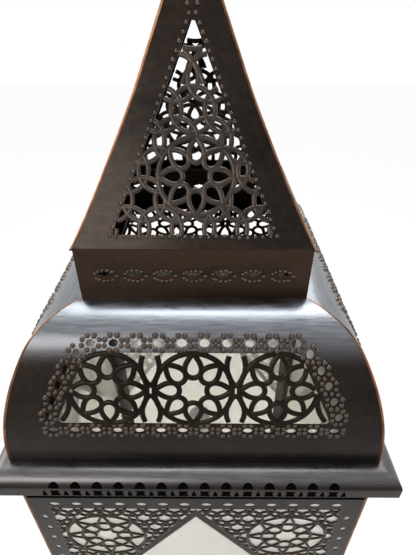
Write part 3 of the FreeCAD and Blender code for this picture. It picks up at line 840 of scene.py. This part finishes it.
TOP_BEADS_HALF, TOP_BEADS_UP = 4.5, (221.0, 229.0, 237.0, 245.0)


def spire_window(gx, gs):
    return trapezoid(gx, gs, SPIRE_PEAK_S, SPIRE_TOP_HALF, SPIRE_FOOT_S, SPIRE_FOOT_HALF,
                     SPIRE_CORNER)


def spire_field(gx, gs):
    return np.maximum(np.abs(gx) - (SPIRE.half(gs) - SEAM_GAP), -spire_window(gx, gs))


def spire_fret():
    """The low rosette, linked circles in the rest of the window, and a bar and cross at the top."""
    ring = rosette_paths(SPIRE_MID, SPIRE_EYE_S, SPIRE_RING, SPIRE_EYE, SPIRE_PETAL)
    top = [(bowed((-BAR_HALF, BAR_S), (BAR_HALF, BAR_S), 2.0), False)]
    for side in (-1, 1):
        foot = (-side * CROSS_HALF, CROSS_S + CROSS_HIGH)
        top.append((bowed((side * BAR_HALF, BAR_S), foot, side * 3.0), False))
    links = linked((-LINK_HALF, LINK_HALF), (CROSS_S, LINK_S), LINK_PITCH, LINK_R)
    return ring, links + top


def make_spire(k, side):
    sheet = Build()
    pierced_sheet(sheet, SPIRE, spire_field, (-COLLAR_HALF, COLLAR_HALF), (0.0, SPIRE.total), GRID)
    ring, links = spire_fret()
    fret = Build()
    lay(fret, SPIRE, ring, spire_window, width=5.4, rise=1.6)
    around = beyond(spire_window, (SPIRE_MID,), SPIRE_EYE_S, SPIRE_RING)
    lay(fret, SPIRE, links, around, width=5.0, rise=1.5)
    fret.piece(f"spire_fret_{side}", FRET_METAL, k)
    sheet.piece(f"spire_{side}", SHEET_METAL, k, stands_for=(f"spire_panel_{side}",))
    beads, spots = Build(), []
    for t in np.linspace(0, 1, EDGE_BEADS):
        for sign in (-1, 1):
            spots.append((sign * (EDGE_FOOT[0] + (EDGE_PEAK[0] - EDGE_FOOT[0]) * t),
                          EDGE_FOOT[1] + (EDGE_PEAK[1] - EDGE_FOOT[1]) * t))
    for x in np.linspace(-FOOT_BEADS_HALF, FOOT_BEADS_HALF, FOOT_BEADS):
        spots.append((x, FOOT_BEADS_S + rng.uniform(-FOOT_BEADS_STRAY, FOOT_BEADS_STRAY)))
    for up in TOP_BEADS_UP:
        spots += [(-TOP_BEADS_HALF, SPIRE.total - up), (TOP_BEADS_HALF, SPIRE.total - up)]
    stud(beads, SPIRE, spots, radius=2.4, apart=4.2)
    beads.piece(f"spire_beads_{side}", BEAD_METAL, k)


# ---- collar --------------------------------------------------------------------
COLLAR = Flat(COLLAR_HALF, collar_low[2])
COLLAR_EYES, COLLAR_EYES_HALF, COLLAR_ROW = 7, 91, 29.0


def make_collar():
    beads = Build()
    for x in np.linspace(-COLLAR_EYES_HALF, COLLAR_EYES_HALF, COLLAR_EYES):
        spots = []
        bead_ring(spots, x, COLLAR_ROW, wide=22.5, high=13.0, count=14)
        stud(beads, COLLAR, spots, radius=2.5, apart=3.8)
    for k, side in enumerate(SIDES):
        beads.piece(f"collar_beads_{side}", BEAD_METAL, k)


# ---- cornice -------------------------------------------------------------------
TEETH, TOOTH_PITCH = 14, 23.7
LIP_S = CORNICE.total - CORNICE_LIP
HOLE_UP, HOLE_FOOT_UP, HOLE_WIDE, HOLE_HIGH = 3.0, 2.0, 12.0, 15.0
SLOT_DOWN, SLOT_HALF = 6.8, 5.0
WAIST_DOWN, WAIST_RATE = 6.5, 0.42  # the slots are waisted by a cosine
EDGE_ENDS, EDGE_UP, EDGE_WIDE, EDGE_PLACES = 1.5, 1.1, 2.2, 40
SILL_UP, SILL_BOW, SILL_HALF, SILL_WIDE, SILL_PLACES = 1.4, 0.05, 5.0, 1.8, 7
CORNICE_GRID = 1.15


def cornice_field(gx, gs):
    """The roll, less its round-headed holes, the slots under them and the notches between."""
    value = np.abs(gx) - CORNICE.half(gs) + 0.1
    in_slots = np.abs(gs - (LIP_S + SLOT_DOWN)) - SLOT_HALF
    waist = 5.6 - 1.4 * np.cos((gs - LIP_S - WAIST_DOWN) * WAIST_RATE)
    for x in spread(TEETH, TOOTH_PITCH):
        hole = np.maximum(oval(gx, gs, x, LIP_S - HOLE_UP, HOLE_WIDE, HOLE_HIGH),
                          gs - (LIP_S - HOLE_FOOT_UP))
        slot = np.maximum(np.abs(gx - x) - waist, in_slots)
        value = np.maximum(value, -np.minimum(hole, slot))
    for x in spread(TEETH + 1, TOOTH_PITCH):
        notch = np.maximum(np.abs(gx - x) - (0.4 + 0.24 * (gs - LIP_S)), in_slots)
        value = np.maximum(value, -notch)
    return value


def make_cornice(k, side):
    sheet = Build()
    pierced_sheet(sheet, CORNICE, cornice_field, (-CORNICE_HALF, CORNICE_HALF),
                  (0.0, CORNICE.total), CORNICE_GRID)
    sheet.piece(f"cornice_{side}", CORNICE_METAL, k, stands_for=(f"cornice_rail_{side}",))
    edge = Build()
    ends = CORNICE_HALF - EDGE_ENDS
    foot = [(x, CORNICE.total - EDGE_UP) for x in np.linspace(-ends, ends, EDGE_PLACES)]
    strip(edge, CORNICE, np.array(foot), EDGE_WIDE, 0.0, sunk=1.3)
    # painted highlights: a short bright strip under each round-headed hole stands in for the light
    # that shows through it
    for x in spread(TEETH, TOOTH_PITCH):
        sill = [(x + t, LIP_S - SILL_UP - SILL_BOW * t * t)
                for t in np.linspace(-SILL_HALF, SILL_HALF, SILL_PLACES)]
        strip(edge, CORNICE, np.array(sill), SILL_WIDE, -0.1, sunk=1.0)
    # known fault: all four of these turn to the right side of the lamp
    edge.piece(f"cornice_edge_{side}", EDGE_METAL, SIDES.index("right"))


# ---- body ----------------------------------------------------------------------
BORDER_IN, HEAD_DROP, BAND = 182.0, 70.0, 9.0
ARCH_SLOPE = (ARCH_FOOT - ARCH_APEX) / ARCH_TOE
BODY_ROSETTE, BODY_ROSETTE_R = (121.0, -141.0), 52.0
BODY_EYE, BODY_PETAL, BODY_INNER_R = 14.5, 8.5, 33.0
BODY_LINK_HALF, BODY_LINK_PITCH, BODY_LINK_R = 189, 27.0, 18.5
BODY_HEAD_HOLES, BODY_HEAD_PITCH, BODY_HEAD_S = 14, 27.0, -60.0
POST_HOLES, POST_HOLE_X, POST_HOLE_S, POST_PITCH = 9, 194.0, -92.0, 28.0
SIDE_GAP = 0.8
BODY_GRID = 2.0
HEAD_BAND = 47.0  # how far the black band of painted shade reaches down behind the cornice's slots
ARCH_BEADS, ARCH_BEAD_R, ARCH_BEAD_IN = 62, 1.5, 3.4
ARCH_BEADS_FROM, ARCH_BEADS_RUN = 3, ARCH_TOE - 8


def arch_line(gx, gs, inset):
    """Distance above the arch's edge, less an inset: positive inside the metal."""
    drop = ARCH_APEX + ARCH_SLOPE * np.abs(gx)
    return (drop + gs) / math.hypot(1, ARCH_SLOPE) - inset


def spandrel_window(gx, gs):
    inside = np.maximum(np.abs(gx) - BORDER_IN, gs + HEAD_DROP)
    return np.maximum(inside, -arch_line(gx, gs, BAND))


def spandrel_holes():
    holes = [(x, BODY_HEAD_S, 13.0, 8.0) for x in spread(BODY_HEAD_HOLES, BODY_HEAD_PITCH)]
    for k in range(POST_HOLES):
        s = POST_HOLE_S - POST_PITCH * k
        holes += [(-POST_HOLE_X, s, 7.0, 10.0), (POST_HOLE_X, s, 7.0, 10.0)]
    return holes


def spandrel_field(half):
    def field(gx, gs):
        value = np.maximum(np.abs(gx) - half, -arch_line(gx, gs, 0.0))
        value = np.maximum(value, -spandrel_window(gx, gs))
        for x, s, wide, high in spandrel_holes():
            value = np.maximum(value, -oval(gx, gs, x, s, wide, high))
        return value
    return field


def spandrel_fret():
    """A rosette in each spandrel, and linked circles round them."""
    cx, cs = BODY_ROSETTE
    ring = rosette_paths(-cx, cs, BODY_ROSETTE_R, BODY_EYE, BODY_PETAL)
    ring.append((circle(-cx, cs, BODY_INNER_R)[:-1], True))
    ring += [(np.asarray(p) * [-1, 1], c) for p, c in ring]
    links = linked((-BODY_LINK_HALF, BODY_LINK_HALF), (-ARCH_FOOT, -HEAD_DROP),
                   BODY_LINK_PITCH, BODY_LINK_R)
    return ring, links


def make_spandrel(k, side):
    """The pierced arch of one side; the back's rides the door."""
    door = side == "back"
    node, body = ("door_spandrel", "door") if door else (f"spandrel_{side}", "lantern")
    low, high = edges(node)
    half = (high[0] - low[0]) / 2 if side in ("front", "back") else BODY_HALF - SIDE_GAP
    top = high[2] - Z_CORNICE
    sheet = Build()
    pierced_sheet(sheet, SPANDREL, spandrel_field(half), (-BODY_HALF, BODY_HALF),
                  (-ARCH_FOOT - 2, top), BODY_GRID)
    ring, links = spandrel_fret()
    fret = Build()
    lay(fret, SPANDREL, ring, spandrel_window, width=3.8, rise=1.2)
    cx, cs = BODY_ROSETTE
    around = beyond(spandrel_window, (-cx, cx), cs, BODY_ROSETTE_R)
    lay(fret, SPANDREL, links, around, width=3.6, rise=1.1)
    sheet.piece(f"arch_{side}", ARCH_METAL, k, body, stands_for=(node,))
    fret.piece(f"arch_fret_{side}", ARCH_METAL, k, body)
    if not door:
        # painted shade: a thin matt black band on the wall behind the cornice's slots, where only
        # shadow falls
        shade = Build()
        ends = BODY_HALF - 2.0
        line = [(x, (top - HEAD_BAND) / 2) for x in np.linspace(-ends, ends, 8)]
        strip(shade, SPANDREL, np.array(line), top + HEAD_BAND, 0.3, sunk=0.1)
        shade.piece(f"painted_shade_head_{side}", PAINTED_SHADE_BAND, k)
    beads = Build()
    inset = ARCH_BEAD_IN * math.hypot(1, ARCH_SLOPE)
    for t in np.linspace(0.0, 1.0, ARCH_BEADS):
        x = ARCH_BEADS_FROM + ARCH_BEADS_RUN * t
        for sign in (-1, 1):
            bead(beads, SPANDREL, sign * x, -ARCH_APEX - ARCH_SLOPE * x + inset, ARCH_BEAD_R)
    beads.piece(f"arch_beads_{side}", BEAD_METAL, k, body)


# ---- seams -------------------------------------------------------------------
SEAM_HALF, SEAM_PLACES = 0.7, 60


def hip_seams(name, surface, proud, nodes):
    """Raw copper edges standing along the four hips of a bent roof."""
    build = Build()
    s = np.linspace(0, surface.total, SEAM_PLACES)
    out, up = surface.half(s), surface.height(s)
    for k in range(4):
        along, across = axes(45 + 90 * k)
        rows = []
        for lift, side in ((-SHEET, -SEAM_HALF), (proud, -SEAM_HALF), (proud, SEAM_HALF),
                           (-SHEET, SEAM_HALF)):
            flat = np.outer(out * math.sqrt(2) + lift, along) + across * side
            rows.append(np.column_stack([flat, up]))
        verts = np.stack(rows, 1).reshape(-1, 3)
        faces = []
        for i in range(len(s) - 1):
            for j in range(4):
                q = (j + 1) % 4
                faces.append((i * 4 + j, (i + 1) * 4 + j, (i + 1) * 4 + q, i * 4 + q))
        faces += [(0, 1, 2, 3), tuple((len(s) - 1) * 4 + j for j in (3, 2, 1, 0))]
        build.add(verts, faces)
    build.piece(name, COPPER, slot="raw_copper", stands_for=nodes)


for number, side_name in enumerate(SIDES):
    make_dome(number, side_name)
    make_spire(number, side_name)
    make_cornice(number, side_name)
    make_spandrel(number, side_name)
make_collar()
hip_seams("dome_hips", DOME, 1.4, ("dome_corner_seams",))
hip_seams("spire_hips", SPIRE, 1.2, ("spire_corner_seams",))

# ---- the solids that keep their shape ------------------------------------------
FINISH = {"antique_bronze": SHEET_METAL, "raw_copper": COPPER, "aged_brass": BRASS,
          "blackened_steel": STEEL, "frosted_glass": GLASS, "opal_bulb": OPAL,
          "black_plastic": BLACK}
for entry in frame["record"]["subparts"]:
    node = frame["nodes"][entry["node"]]
    node.data.materials.clear()
    collar = entry["node"] == "collar_band"
    node.data.materials.append(COLLAR_METAL if collar else FINISH[entry["material_slot"]])
